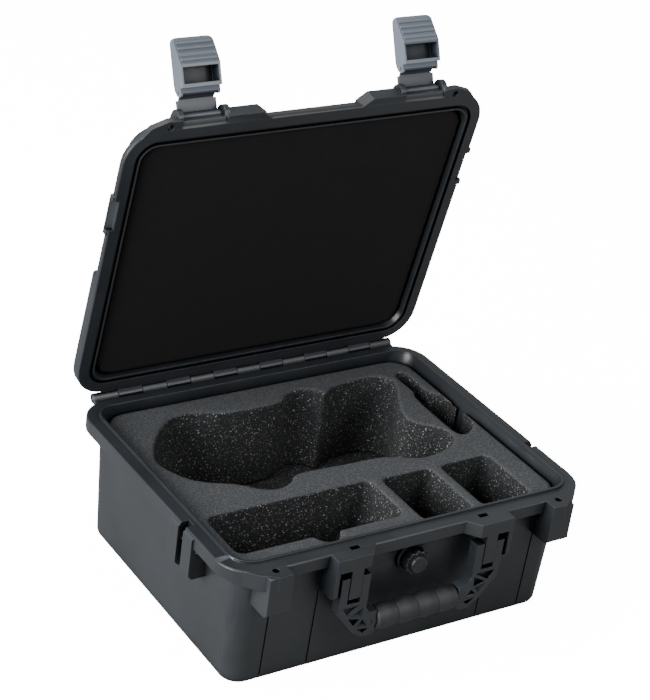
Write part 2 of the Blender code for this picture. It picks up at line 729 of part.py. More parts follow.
def make_latch_lever(name, x, colour):
    """Hollow hooked lever: lip at the top, pocket below it, ridged wedge down to the free end."""
    y, z = LINK_PIVOT_Y, LEVER_PIVOT_Z
    slope_start, slope_end = (LEVER_FACE - 0.5, -20.0), (-1.0, -35.2)
    profile = [
        (-2.6, 2.6), (1.6, 2.8), (2.9, 1.2), (2.9, -3.1), (LEVER_FACE, -3.1), (LEVER_FACE, -19.0),
        slope_start, slope_end, (-2.4, -36.7), (-4.2, -37.2), (-5.7, -36.0), (-6.4, -33.0),
        (-6.4, -5.0), (-5.4, -0.8),
    ]
    half = LATCH_LEVER_WIDTH / 2
    inner = half - LATCH_LEVER_WALL
    outline = [(y + a, z + b) for a, b in profile]
    lever = prism(name, outline, x - half, x + half, "x")
    place = Vector((y, z))
    union(lever, *lever_ridges(x, Vector(slope_start) + place, Vector(slope_end) + place))
    cut(
        lever,
        box("link_slot", (x - inner, y - 20.0, z - 2.3), (x + inner, y + 2.3, z + 20.0)),
        box("slot_mouth", (x - inner, y - 20.0, z + 0.4), (x + inner, y + 20.0, z + 20.0)),
        box("outer_slot", (x - inner, y - 20.0, z - 5.2), (x + inner, y - 3.0, z + 20.0)),
        prism("heel", [(y + a, z + b) for a, b in ((-0.3, -2.2), (-3.2, -4.1), (-3.2, -2.2))],
              x - inner, x + inner, "x"),
        box("pocket", (x - inner, y - 3.6, z - 17.0), (x + inner, y + 20.0, z - 5.7)),
        disc("hole", LATCH_PIN_RADIUS + 0.2, x - half - 1.0, x + half + 1.0, "x", (y, z), 12),
        lever_corner(x, -1, z - 37.2),
        lever_corner(x, 1, z - 37.2),
    )
    return shade(clean(lever), colour)


def make_pin(name, radius, low, high, axis, centre, colour, segments=12):
    return shade(disc(name, radius, low, high, axis, centre, segments), colour)


# ---- handle ---------------------------------------------------------------------------------------


def handle_arm(side):
    """One ribbed arm with its forked end, as a plate with triangular pockets on both faces."""
    inner, outer = HANDLE_FORK_X - 11.7, HANDLE_FORK_X + 11.7
    slot_low, slot_high = HANDLE_FORK_X - 5.2, HANDLE_FORK_X + 5.2
    top = HANDLE_PIVOT_Z + 4.2
    outline = [
        (35.0, 52.0), (35.0, 34.5), (38.0, 32.4), (45.0, 32.4), (53.5, 38.0), (outer - 0.8, 55.5),
        (outer, top), (slot_high, top), (slot_high, 63.5), (slot_low, 63.5), (slot_low, top),
        (inner, top), (inner, 57.5), (41.5, 52.6),
    ]
    centre = HANDLE_PIVOT_Y
    low, high = centre - HANDLE_HALF_DEPTH, centre + HANDLE_HALF_DEPTH
    solid = prism("arm", mirrored(outline, side), low, high, "y")
    pockets = [
        [(47.6, 60.6), (64.6, 60.6), (59.4, 53.4)],
        [(46.8, 58.0), (57.4, 52.2), (47.6, 50.0)],
        [(58.9, 51.0), (53.4, 43.8), (48.6, 48.4)],
        [(46.2, 47.6), (51.2, 42.4), (41.6, 40.8)],
        [(50.6, 40.4), (44.6, 35.6), (40.4, 38.6)],
    ]
    cutters = []
    for pocket in pockets:
        for direction in (-1, 1):
            face = centre + direction * HANDLE_HALF_DEPTH
            low, high = sorted((face + direction, face - direction * 3.0))
            cutters.append(prism("pocket", mirrored(pocket, side), low, high, "y"))
    return cut(solid, *cutters)


def make_handle_frame(colour):
    y = HANDLE_PIVOT_Y
    core = [(y + CORE_HALF_Y * math.cos(a), GRIP_Z + CORE_HALF_Z * math.sin(a))
            for a in (2 * math.pi * i / 20 for i in range(20))]
    frame = prism("handle_frame", core, -38.0, 38.0, "x")
    union(frame, handle_arm(-1), handle_arm(1))
    for side in (-1, 1):
        low, high = span(side, HANDLE_FORK_X - 20.0, HANDLE_FORK_X + 20.0)
        cut(frame, disc("hole", HANDLE_PIN_RADIUS + FIT_GAP, low, high, "x", (y, HANDLE_PIVOT_Z), 14))
    return shade(clean(frame), colour)


def make_handle_grip(colour):
    """Sleeve with four finger swells round the handle's core."""
    y = HANDLE_PIVOT_Y
    segments = 24
    stations = 17

    def loop(x, half_y, half_z, lift=0.0):
        angles = [2 * math.pi * i / segments for i in range(segments)]
        return [(x, y + half_y * math.cos(a), GRIP_Z + lift + half_z * math.sin(a)) for a in angles]

    rings = []
    for i in range(stations):
        x = -GRIP_HALF_LENGTH + 2 * GRIP_HALF_LENGTH * i / (stations - 1)
        swell = 0.8 * math.sin(math.pi * 4 * (x + GRIP_HALF_LENGTH) / (2 * GRIP_HALF_LENGTH)) ** 2
        rings.append(loop(x, GRIP_HALF_DEPTH - 0.8 + swell, GRIP_HALF_HEIGHT - 0.8 + swell))
    for x in (GRIP_HALF_LENGTH, -GRIP_HALF_LENGTH):
        rings.append(loop(x, CORE_HALF_Y + FIT_GAP, CORE_HALF_Z + FIT_GAP))
    return shade(closed_ring("handle_grip", rings), colour)


# ---- valve -----------------------------------------------------------------------------------------


def lathe_y(profile, segments=28, lobes=0, lobe_depth=0.0, lobed_rings=()):
    """Solid of rings about the valve's axis; profile is (y, radius) from front to back."""
    rings = []
    for index, (y, radius) in enumerate(profile):
        ring = []
        for i in range(segments):
            angle = 2 * math.pi * i / segments
            r = radius
            if index in lobed_rings:
                r -= lobe_depth * (0.5 - 0.5 * math.cos(lobes * angle))
            ring.append((r * math.cos(angle), y, VALVE_Z + r * math.sin(angle)))
        rings.append(ring)
    return rings


def make_valve(colours):
    front = VALVE_FACE_Y
    body_profile = [
        (front - 2.6, 3.2), (front - 2.6, 10.6), (front - 1.8, VALVE_FLANGE_RADIUS),
        (front, VALVE_FLANGE_RADIUS), (front, VALVE_STEM_RADIUS), (front + 10.4, VALVE_STEM_RADIUS),
        (front + 10.4, 3.2),
    ]
    body = closed_ring("valve_body", lathe_y(body_profile))
    knob_front = front - 13.0
    knob_profile = [
        (knob_front, 5.4), (knob_front, 6.2), (knob_front + 0.8, 7.0), (knob_front + 3.0, 7.0),
        (knob_front + 3.0, 9.4), (knob_front + 3.6, 10.0), (knob_front + 8.6, 10.0),
        (knob_front + 9.2, 9.4), (knob_front + 9.2, 2.8), (front + 4.0, 2.8),
    ]
    rings = lathe_y(knob_profile, 48, 12, 1.5, (4, 5, 6, 7))
    dish = lathe_y([(knob_front + 0.7, 4.6)], 48)
    knob = stacked_rings("valve_knob", dish + rings)
    seal_profile = [(front - 3.7, 6.0), (front - 3.7, 8.2), (front - 2.7, 8.2), (front - 2.7, 6.0)]
    knob_seal = closed_ring("valve_knob_seal", lathe_y(seal_profile))
    inner_wall = front + WALL + 1.4
    washer_profile = [(inner_wall, 6.4), (inner_wall, 9.0), (inner_wall + 1.5, 9.0), (inner_wall + 1.5, 6.4)]
    wall_seal = closed_ring("valve_wall_seal", lathe_y(washer_profile))
    nut_y = inner_wall + 1.8
    nut = closed_ring("valve_nut", [
        hexagon(nut_y, 9.8, 24), circle_ring(nut_y, VALVE_STEM_RADIUS + FIT_GAP, 24),
        circle_ring(nut_y + 4.0, VALVE_STEM_RADIUS + FIT_GAP, 24), hexagon(nut_y + 4.0, 9.8, 24),
    ])
    for obj, colour in zip((body, knob, knob_seal, wall_seal, nut), colours):
        shade(obj, colour)
    return body, knob, knob_seal, wall_seal, nut


def circle_ring(y, radius, segments):
    return [(a, y, VALVE_Z + b) for a, b in circle(radius, segments)]


def hexagon(y, radius, segments):
    """Hexagon across its corners, as many points as the round rings it is joined to."""
    ring = []
    for i in range(segments):
        angle = 2 * math.pi * i / segments
        turn = (angle + math.pi / 6) % (math.pi / 3) - math.pi / 6
        r = radius * math.cos(math.pi / 6) / math.cos(turn)
        ring.append((r * math.cos(angle), y, VALVE_Z + r * math.sin(angle)))
    return ring


# ---- assembly -----------------------------------------------------------------------------------------
def clear_scene():
    for obj in list(bpy.data.objects):
        bpy.data.objects.remove(obj)


def main():
    clear_scene()
    shell_black = material("shell_plastic", (0.024, 0.026, 0.029), 0.42)
    latch_grey = material("latch_plastic", (0.075, 0.082, 0.095), 0.4)
    foam_grey = material("foam_charcoal", (0.045, 0.047, 0.050), 0.95)
    lid_foam_black = material("foam_black", (0.012, 0.011, 0.012), 0.95)
    grip_rubber = material("grip_rubber", (0.035, 0.037, 0.041), 0.6)
    seal_rubber = material("seal_rubber", (0.016, 0.016, 0.018), 0.55)
    pin_steel = material("pin_steel", (0.45, 0.45, 0.46), 0.3, 1.0)

    make_base_shell(shell_black)
    make_base_foam_pad(foam_grey)
    make_base_foam(foam_grey)
    for side, word in ((-1, "left"), (1, "right")):
        make_pin("strap_pin_" + word, STRAP_PIN_RADIUS, -64.5, -34.5, "y",
                 (side * STRAP_PIN_X, STRAP_PIN_Z), pin_steel, 14)
    half = KNUCKLE_COUNT * KNUCKLE_PITCH / 2 - 0.6
    make_pin("hinge_rod", HINGE_ROD_RADIUS, -half, half, "x", (HINGE_Y, HINGE_Z), pin_steel, 16)
    valve_parts = make_valve((shell_black, shell_black, seal_rubber, seal_rubber, shell_black))
    knob_at = (0.0, VALVE_FACE_Y, VALVE_Z)
    knob_pivot = pivot_empty("valve_knob_pivot", knob_at)
    hang(valve_parts[1], knob_pivot, knob_at)

    lid_at = (0.0, HINGE_Y, HINGE_Z)
    lid_pivot = pivot_empty("lid_pivot", lid_at, angle=LID_OPEN_ANGLE)
    for obj in (make_lid_shell(shell_black), make_lid_seal(seal_rubber), make_lid_foam(lid_foam_black)):
        hang(obj, lid_pivot, lid_at)

    for side, word in ((-1, "left"), (1, "right")):
        x = side * LATCH_X
        link_at = (x, LINK_PIVOT_Y, LINK_PIVOT_Z)
        lever_at = (x, LINK_PIVOT_Y, LEVER_PIVOT_Z)
        link_pivot = pivot_empty("link_pivot_" + word, link_at, lid_pivot, lid_at, LINK_OPEN_ANGLE)
        lever_pivot = pivot_empty("lever_pivot_" + word, lever_at, link_pivot, link_at)
        reach = LATCH_LEVER_WIDTH / 2 + 4.2
        pin = make_pin("latch_link_pin_" + word, LATCH_PIN_RADIUS, x - reach, x + reach, "x",
                       link_at[1:], pin_steel)
        hang(pin, lid_pivot, lid_at)
        hang(make_latch_link("latch_link_" + word, x, latch_grey), link_pivot, link_at)
        reach = LATCH_LEVER_WIDTH / 2 - 0.3
        pin = make_pin("latch_lever_pin_" + word, LATCH_PIN_RADIUS, x - reach, x + reach, "x",
                       lever_at[1:], pin_steel)
        hang(pin, link_pivot, link_at)
        hang(make_latch_lever("latch_lever_" + word, x, latch_grey), lever_pivot, lever_at)

    handle_at = (0.0, HANDLE_PIVOT_Y, HANDLE_PIVOT_Z)
    handle_pivot = pivot_empty("handle_pivot", handle_at)
    hang(make_handle_frame(shell_black), handle_pivot, handle_at)
    hang(make_handle_grip(grip_rubber), handle_pivot, handle_at)
    for side, word in ((-1, "left"), (1, "right")):
        low, high = span(side, HANDLE_FORK_X - 11.4, HANDLE_FORK_X + 11.4)
        make_pin("handle_pin_" + word, HANDLE_PIN_RADIUS, low, high, "x", handle_at[1:], pin_steel, 14)


if __name__ == "__main__":
    main()
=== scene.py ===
"""Hard drone carrying case: moulded finishes, cut foam, rubber grip and the studio it stands in."""
import math

import bmesh
import bpy
from bpy.props import FloatProperty, FloatVectorProperty, IntProperty, PointerProperty
from bpy.types import Operator, Panel, PropertyGroup
from mathutils import Matrix, Vector, noise


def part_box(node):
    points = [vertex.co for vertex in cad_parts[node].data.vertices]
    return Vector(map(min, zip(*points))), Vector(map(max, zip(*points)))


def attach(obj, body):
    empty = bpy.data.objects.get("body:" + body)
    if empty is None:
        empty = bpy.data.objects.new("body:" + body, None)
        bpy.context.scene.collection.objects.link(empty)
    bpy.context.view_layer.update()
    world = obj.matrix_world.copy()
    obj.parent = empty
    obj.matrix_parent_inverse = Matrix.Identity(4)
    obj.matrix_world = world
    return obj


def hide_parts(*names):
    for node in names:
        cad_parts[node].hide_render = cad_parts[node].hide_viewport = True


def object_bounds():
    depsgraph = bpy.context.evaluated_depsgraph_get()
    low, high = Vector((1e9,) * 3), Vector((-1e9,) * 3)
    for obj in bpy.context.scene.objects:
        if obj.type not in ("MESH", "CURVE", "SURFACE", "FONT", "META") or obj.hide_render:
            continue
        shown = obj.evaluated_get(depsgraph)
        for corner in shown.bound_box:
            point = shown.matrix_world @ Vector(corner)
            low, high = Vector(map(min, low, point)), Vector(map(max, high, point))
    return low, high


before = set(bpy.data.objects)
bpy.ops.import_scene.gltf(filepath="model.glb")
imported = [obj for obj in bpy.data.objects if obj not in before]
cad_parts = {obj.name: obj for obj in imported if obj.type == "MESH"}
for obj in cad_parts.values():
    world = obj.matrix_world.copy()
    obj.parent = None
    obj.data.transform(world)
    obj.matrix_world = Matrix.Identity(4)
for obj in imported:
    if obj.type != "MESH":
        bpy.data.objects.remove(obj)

bl_info = {
    "name": "Drone carrying case",
    "version": (1, 0, 0),
    "blender": (4, 5, 0),
    "location": "View3D > Sidebar > Case",
    "description": "Finishes, foam and studio for a hard drone carrying case",
    "category": "Object",
}

CAD_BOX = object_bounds()
MM = 0.001

MERGE_DISTANCE = 0.002 * MM
COPY_MERGE_DISTANCE = 0.001 * MM
FLAT_ANGLE = math.radians(0.4)
SHARP_ANGLE = math.radians(26)
GRIP_SHARP_ANGLE = math.radians(50)
NORMAL_WEIGHT = 90
SHADER_SAMPLES = 6
PLASTIC_IOR = 1.46
PLASTIC_SPECULAR = 0.45

WALL_TILT = 0.72
PAD_STEP = 3.0 * MM
LID_FOAM_STEP = 2.5 * MM

GRIP_STATIONS = 97
GRIP_SEGMENTS = 56
GRIP_SWELL = 0.8 * MM
GRIP_COLLAR = 0.9 * MM
GRIP_BORE = (5.3 * MM, 6.3 * MM)

CAMERA_AZIMUTH = -34.309
CAMERA_ELEVATION = 26.955
CAMERA_ROLL = 7.278
CAMERA_TARGET = (-0.0636, 0.0, 0.2289)
CAMERA_DISTANCE = 1.3855
CAMERA_LENS = 104.03
CAMERA_SENSOR = 36.0
CAMERA_SHIFT = (0.07, -0.0622)

AMBIENT = 0.5
PANELS = (
    ("left_panel", (-2.2, -0.1, 0.8), (0.0, 0.0, 0.12), 1.8, 230.0),
    ("top_panel", (-0.2, 0.5, 2.2), (0.0, 0.0, 0.1), 1.6, 36.0),
    ("front_panel", (0.9, -2.2, 1.6), (0.0, 0.0, 0.1), 1.2, 50.0),
)

SHELL_BODIES = {"base_shell": "base", "lid_shell": "lid"}
SMALL_BODIES = {
    "valve_body": "base", "valve_knob": "valve_knob", "valve_nut": "base", "handle_frame": "handle",
}
LATCH_BODIES = {name: name for name in ("latch_lever_left", "latch_lever_right", "latch_link_left",
                                        "latch_link_right")}
SEAL_NODES = ("lid_seal", "valve_knob_seal", "valve_wall_seal")
STEEL_NODES = (
    "hinge_rod", "strap_pin_left", "strap_pin_right", "handle_pin_left", "handle_pin_right",
    "latch_link_pin_left", "latch_link_pin_right", "latch_lever_pin_left", "latch_lever_pin_right",
)


def srgb(hex_value):
    """Linear colour of an sRGB hex value such as "1A1C1E"."""
    channels = [int(hex_value[i:i + 2], 16) / 255 for i in (0, 2, 4)]
    return tuple(c / 12.92 if c <= 0.04045 else ((c + 0.055) / 1.055) ** 2.4 for c in channels)


# ---- settings ---------------------------------------------------------------------------------
class ShellSettings(PropertyGroup):
    """Moulded base, lid, handle frame and valve."""

    colour: FloatVectorProperty(
        name="Shell colour", description="Colour of the moulded shells", subtype="COLOR",
        size=3, min=0.0, max=1.0, default=srgb("1B1E21"))
    roughness: FloatProperty(
        name="Shell roughness", description="Roughness of the moulded grain", subtype="FACTOR",
        min=0.0, max=1.0, default=0.38)
    edge_radius: FloatProperty(
        name="Edge radius", description="Radius that moulding leaves on every outer edge",
        subtype="DISTANCE", unit="LENGTH", min=0.0, max=0.002, default=0.7 * MM)
    grain: FloatProperty(
        name="Grain size", description="Size of one bump of the moulded grain",
        subtype="DISTANCE", unit="LENGTH", min=0.0001, max=0.005, default=0.9 * MM)


class LatchSettings(PropertyGroup):
    """Draw latches."""

    colour: FloatVectorProperty(
        name="Latch colour", description="Colour of the latch levers and links", subtype="COLOR",
        size=3, min=0.0, max=1.0, default=srgb("4C525A"))
    roughness: FloatProperty(
        name="Latch roughness", description="Roughness of the satin latch plastic", subtype="FACTOR",
        min=0.0, max=1.0, default=0.36)


class FoamSettings(PropertyGroup):
    """Cut foam insert and the foam in the lid."""

    colour: FloatVectorProperty(
        name="Foam colour", description="Colour of the insert's upper face", subtype="COLOR",
        size=3, min=0.0, max=1.0, default=srgb("2E3032"))
    lid_colour: FloatVectorProperty(
        name="Lid foam colour", description="Colour of the flat foam in the lid", subtype="COLOR",
        size=3, min=0.0, max=1.0, default=srgb("0E0C0D"))
    cell: FloatProperty(
        name="Cell size", description="Size of one open cell of the foam", subtype="DISTANCE",
        unit="LENGTH", min=0.0003, max=0.005, default=1.3 * MM)
    tear: FloatProperty(
        name="Wall roughness", description="How deep the cut leaves the pocket walls torn",
        subtype="DISTANCE", unit="LENGTH", min=0.0, max=0.003, default=1.1 * MM)
    mesh_step: FloatProperty(
        name="Mesh step", description="Distance between the foam mesh's points",
        subtype="DISTANCE", unit="LENGTH", min=0.001, max=0.01, default=1.75 * MM)


class GripSettings(PropertyGroup):
    """Rubber grip of the handle."""

    colour: FloatVectorProperty(
        name="Grip colour", description="Colour of the rubber grip", subtype="COLOR",
        size=3, min=0.0, max=1.0, default=srgb("121416"))
    groove_depth: FloatProperty(
        name="Groove depth", description="Depth of the rings moulded round the grip",
        subtype="DISTANCE", unit="LENGTH", min=0.0, max=0.002, default=0.5 * MM)
    rings: IntProperty(
        name="Rings", description="How many rings are moulded round the grip", min=0, max=30,
        default=4)


class StageSettings(PropertyGroup):
    """Floor and light."""

    floor_colour: FloatVectorProperty(
        name="Floor colour", description="Colour of the studio floor", subtype="COLOR",
        size=3, min=0.0, max=1.0, default=srgb("F6F6F6"))
    floor_size: FloatProperty(
        name="Floor size", description="Side of the square floor", subtype="DISTANCE",
        unit="LENGTH", min=1.0, max=100.0, default=30.0)
    light: FloatProperty(
        name="Light", description="Strength of the studio light", min=0.0, max=10.0, default=1.0)
    backdrop: FloatProperty(
        name="Backdrop", description="How bright the paper behind the case is", min=0.0, max=50.0,
        default=14.0)
    bounce: FloatProperty(
        name="Bounce", description="Share of its light the floor throws back on the case",
        subtype="FACTOR", min=0.0, max=1.0, default=0.25)


# ---- material tools ------------------------------------------------------------------------------
def blank_material(name):
    """New material and its node tree, holding only a Principled shader and the output."""
    made = bpy.data.materials.new(name)
    made.use_nodes = True
    return made, made.node_tree


def add_node(tree, kind, settings=None, links=None):
    """Adds one shader node; settings are its properties or inputs, links its incoming sockets."""
    node = tree.nodes.new(kind)
    for key, value in (settings or {}).items():
        if isinstance(key, str) and hasattr(node, key):
            setattr(node, key, value)
        else:
            node.inputs[key].default_value = value
    for key, socket in (links or {}).items():
        tree.links.new(socket, node.inputs[key])
    return node


def shader_of(tree, constants):
    """The Principled shader, with constants set on its own sockets."""
    shader = tree.nodes["Principled BSDF"]
    for key, value in constants.items():
        shader.inputs[key].default_value = value
    return shader


def scaled(colour, factor):
    return (*[min(1.0, c * factor) for c in colour], 1.0)


def object_point(tree):
    return add_node(tree, "ShaderNodeTexCoord").outputs["Object"]


def two_tone(tree, factor, dark, light, low=0.0, high=1.0):
    """Colour between two values as a factor goes from low to high."""
    ramp = add_node(tree, "ShaderNodeValToRGB", links={"Fac": factor})
    ramp.color_ramp.elements[0].position = low
    ramp.color_ramp.elements[0].color = dark
    ramp.color_ramp.elements[1].position = high
    ramp.color_ramp.elements[1].color = light
    return ramp.outputs["Color"]


def mapped(tree, value, source, target):
    """A value carried from one range to another."""
    settings = {"From Min": source[0], "From Max": source[1], "To Min": target[0], "To Max": target[1]}
    return add_node(tree, "ShaderNodeMapRange", settings, {"Value": value}).outputs["Result"]


def moulded_plastic(name, colour, roughness, edge_radius, grain, edge_highlight_gain, painted_shade_reach=12.0 * MM):
    """Moulded plastic: fine grain, faint mottling, painted highlights on the edges and painted shade with
    less shine in the hollows.
    """
    made, tree = blank_material(name)
    point = object_point(tree)
    mottle = add_node(tree, "ShaderNodeTexNoise", {"Scale": 18.0, "Detail": 3.0}, {"Vector": point})
    stipple = add_node(tree, "ShaderNodeTexNoise", {"Scale": 1.0 / grain, "Detail": 2.0},
                       {"Vector": point})
    rounded = add_node(tree, "ShaderNodeBevel", {"samples": SHADER_SAMPLES, "Radius": edge_radius})
    flat = add_node(tree, "ShaderNodeNewGeometry")
    # painted highlight: where the rounded normal turns away from the flat one, the colour is lightened
    # along the edges
    facing = add_node(tree, "ShaderNodeVectorMath", {"operation": "DOT_PRODUCT"},
                      {0: rounded.outputs["Normal"], 1: flat.outputs["True Normal"]})
    edge = mapped(tree, facing.outputs["Value"], (0.995, 0.8), (0.0, 1.0))
    body = two_tone(tree, mottle.outputs["Fac"], scaled(colour, 0.88), scaled(colour, 1.12), 0.35, 0.65)
    # painted shade: ambient occlusion darkens the colour in hollows, corners and between parts
    crevice = add_node(tree, "ShaderNodeAmbientOcclusion", {"samples": SHADER_SAMPLES, "Distance": painted_shade_reach})
    painted_shade_factor = mapped(tree, crevice.outputs["AO"], (0.3, 0.8), (0.06, 1.0))
    shaded = add_node(tree, "ShaderNodeVectorMath", {"operation": "SCALE"}, {0: body, "Scale": painted_shade_factor})
    edge_highlight = add_node(tree, "ShaderNodeMix", {"data_type": "RGBA"}, {"Factor": edge})
    tree.links.new(shaded.outputs["Vector"], edge_highlight.inputs["A"])
    edge_highlight.inputs["B"].default_value = scaled(colour, edge_highlight_gain)
    bump = add_node(tree, "ShaderNodeBump", {"Strength": 0.25, "Distance": 0.06 * MM},
                    {"Height": stipple.outputs["Fac"], "Normal": rounded.outputs["Normal"]})
    rough = mapped(tree, mottle.outputs["Fac"], (0.3, 0.7), (roughness - 0.05, roughness + 0.05))
    # the painted shade also takes the shine out of the hollows
    painted_shade_shine = add_node(tree, "ShaderNodeMath", {"operation": "MULTIPLY", 1: PLASTIC_SPECULAR}, {0: painted_shade_factor})
    shader = shader_of(tree, {"IOR": PLASTIC_IOR, "Metallic": 0.0})
    tree.links.new(painted_shade_shine.outputs["Value"], shader.inputs["Specular IOR Level"])
    tree.links.new(edge_highlight.outputs["Result"], shader.inputs["Base Color"])
    tree.links.new(rough, shader.inputs["Roughness"])
    tree.links.new(bump.outputs["Normal"], shader.inputs["Normal"])
    return made


def soft_rubber(name, colour, roughness):
    """Moulded rubber: matt, patchy, with a dust-fine speckle."""
    made, tree = blank_material(name)
    point = object_point(tree)
    speckle = add_node(tree, "ShaderNodeTexNoise", {"Scale": 1400.0, "Detail": 2.0}, {"Vector": point})
    patches = add_node(tree, "ShaderNodeTexNoise", {"Scale": 60.0, "Detail": 4.0}, {"Vector": point})
    bump = add_node(tree, "ShaderNodeBump", {"Strength": 0.3, "Distance": 0.08 * MM},
                    {"Height": speckle.outputs["Fac"]})
    rough = mapped(tree, patches.outputs["Fac"], (0.3, 0.7), (roughness - 0.08, roughness + 0.08))
    shader = shader_of(tree, {"IOR": 1.5, "Metallic": 0.0})
    body = two_tone(tree, patches.outputs["Fac"], scaled(colour, 0.8), scaled(colour, 1.2), 0.3, 0.7)
    tree.links.new(body, shader.inputs["Base Color"])
    tree.links.new(rough, shader.inputs["Roughness"])
    tree.links.new(bump.outputs["Normal"], shader.inputs["Normal"])
    return made


def drawn_steel(name):
    """Drawn steel rod: bright, with fine lines along its length."""
    made, tree = blank_material(name)
    stretch = add_node(tree, "ShaderNodeMapping", {"Scale": (20.0, 2500.0, 2500.0)},
                       {"Vector": object_point(tree)})
    lines = add_node(tree, "ShaderNodeTexNoise", {"Scale": 1.0, "Detail": 3.0},
                     {"Vector": stretch.outputs["Vector"]})
    rough = mapped(tree, lines.outputs["Fac"], (0.3, 0.7), (0.22, 0.38))
    shader = shader_of(tree, {"Metallic": 1.0})
    body = two_tone(tree, lines.outputs["Fac"], (*srgb("8E9092"), 1.0), (*srgb("B4B6B8"), 1.0), 0.3, 0.7)
    tree.links.new(body, shader.inputs["Base Color"])
    tree.links.new(rough, shader.inputs["Roughness"])
    return made


def open_cell_foam(name, colour, cell, dark, light, speck, depth):
    """Foam: dark cells between lighter struts; speck is how strongly the torn tips show."""
    made, tree = blank_material(name)
    point = object_point(tree)
    cells = add_node(tree, "ShaderNodeTexVoronoi", {"Scale": 1.0 / cell}, {"Vector": point})
    fuzz = add_node(tree, "ShaderNodeTexNoise", {"Scale": 0.8 / cell, "Detail": 4.0, "Roughness": 0.7},
                    {"Vector": point})
    clouds = add_node(tree, "ShaderNodeTexNoise", {"Scale": 35.0, "Detail": 3.0}, {"Vector": point})
    grainy = add_node(tree, "ShaderNodeMath", {"operation": "MULTIPLY_ADD", 1: 0.55},
                      {0: cells.outputs["Distance"], 2: fuzz.outputs["Fac"]})
    body = two_tone(tree, grainy.outputs["Value"], scaled(colour, dark), scaled(colour, light), 0.48, 1.02)
    tips = add_node(tree, "ShaderNodeTexNoise", {"Scale": 1.1 / cell, "Detail": 1.0}, {"Vector": point})
    mask = mapped(tree, tips.outputs["Fac"], (0.64, 0.74), (0.0, speck))
    tinted = add_node(tree, "ShaderNodeMix", {"data_type": "RGBA"}, {"Factor": mask})
    tree.links.new(body, tinted.inputs["A"])
    tinted.inputs["B"].default_value = (*srgb("A8A59E"), 1.0)
    bump = add_node(tree, "ShaderNodeBump", {"Strength": 0.8, "Distance": depth},
                    {"Height": grainy.outputs["Value"]})
    rough = mapped(tree, clouds.outputs["Fac"], (0.3, 0.7), (0.86, 0.98))
    shader = shader_of(tree, {"IOR": 1.4, "Metallic": 0.0, "Specular IOR Level": 0.25})
    tree.links.new(tinted.outputs["Result"], shader.inputs["Base Color"])
    tree.links.new(rough, shader.inputs["Roughness"])
    tree.links.new(bump.outputs["Normal"], shader.inputs["Normal"])
    return made


# ---- mesh tools ------------------------------------------------------------------------
def finish_nodes(names, material):
    """Gives carried-over CAD nodes one material."""
    for name in names:
        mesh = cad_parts[name].data
        mesh.materials.clear()
        mesh.materials.append(material)


def new_piece(bm, name, body, materials):
    """Makes a bmesh a smooth-shaded piece at the origin that rides on a body."""
    mesh = bpy.data.meshes.new(name)
    bm.to_mesh(mesh)
    bm.free()
    for material in materials:
        mesh.materials.append(material)
    mesh.shade_smooth()
    piece = bpy.data.objects.new(name, mesh)
    bpy.context.scene.collection.objects.link(piece)
    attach(piece, body)
    return piece


def merged_copy(node):
    """Object holding a merged copy of a CAD node's mesh, not linked to any body."""
    bm = bmesh.new()
    bm.from_mesh(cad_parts[node].data)
    bmesh.ops.remove_doubles(bm, verts=bm.verts, dist=COPY_MERGE_DISTANCE)
    mesh = bpy.data.meshes.new(node + "_copy")
    bm.to_mesh(mesh)
    bm.free()
    copy = bpy.data.objects.new(node + "_copy", mesh)
    bpy.context.scene.collection.objects.link(copy)
    return copy


def smooth_piece(node, body, material):
    """Replaces a CAD node by the same shape with its points joined, so that its curves shade smoothly."""
    bm = bmesh.new()
    bm.from_mesh(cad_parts[node].data)
    bmesh.ops.remove_doubles(bm, verts=bm.verts, dist=MERGE_DISTANCE)
    bmesh.ops.dissolve_limit(bm, angle_limit=FLAT_ANGLE, verts=bm.verts, edges=bm.edges)
    piece = new_piece(bm, node + "_moulded", body, [material])
    piece.data.set_sharp_from_angle(angle=SHARP_ANGLE)
    weighted = piece.modifiers.new("Weighted normals", "WEIGHTED_NORMAL")
    weighted.weight = NORMAL_WEIGHT
    weighted.keep_sharp = True
    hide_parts(node)
    return piece


def even_mesh(node, step):
    """The node's solid remade of evenly spaced points, as a bmesh."""
    copy = merged_copy(node)
    remesh = copy.modifiers.new("Even", "REMESH")
    remesh.mode = "VOXEL"
    remesh.voxel_size = step
    evaluated = copy.evaluated_get(bpy.context.evaluated_depsgraph_get())
    mesh = bpy.data.meshes.new_from_object(evaluated)
    bm = bmesh.new()
    bm.from_mesh(mesh)
    bm.normal_update()
    bpy.data.objects.remove(copy)
    bpy.data.meshes.remove(mesh)
    return bm


def tear_surface(bm, cell, wall_depth, face_depth):
    """Pulls points into the foam by a random amount: deep on cut walls, slight on skinned faces."""
    moves = []
    for vert in bm.verts:
        upright = 1.0 - abs(vert.normal.z)
        depth = face_depth + (wall_depth - face_depth) * min(1.0, max(0.0, (upright - 0.3) / 0.5))
        lump = 0.5 + 0.5 * noise.noise(vert.co / (cell * 3.2))
        tuft = 0.5 + 0.5 * noise.noise(vert.co / (cell * 1.5) + Vector((7.0, 3.0, 5.0)))
        moves.append(vert.normal * -depth * (0.45 * lump + 0.55 * tuft))
    for vert, move in zip(bm.verts, moves):
        vert.co += move


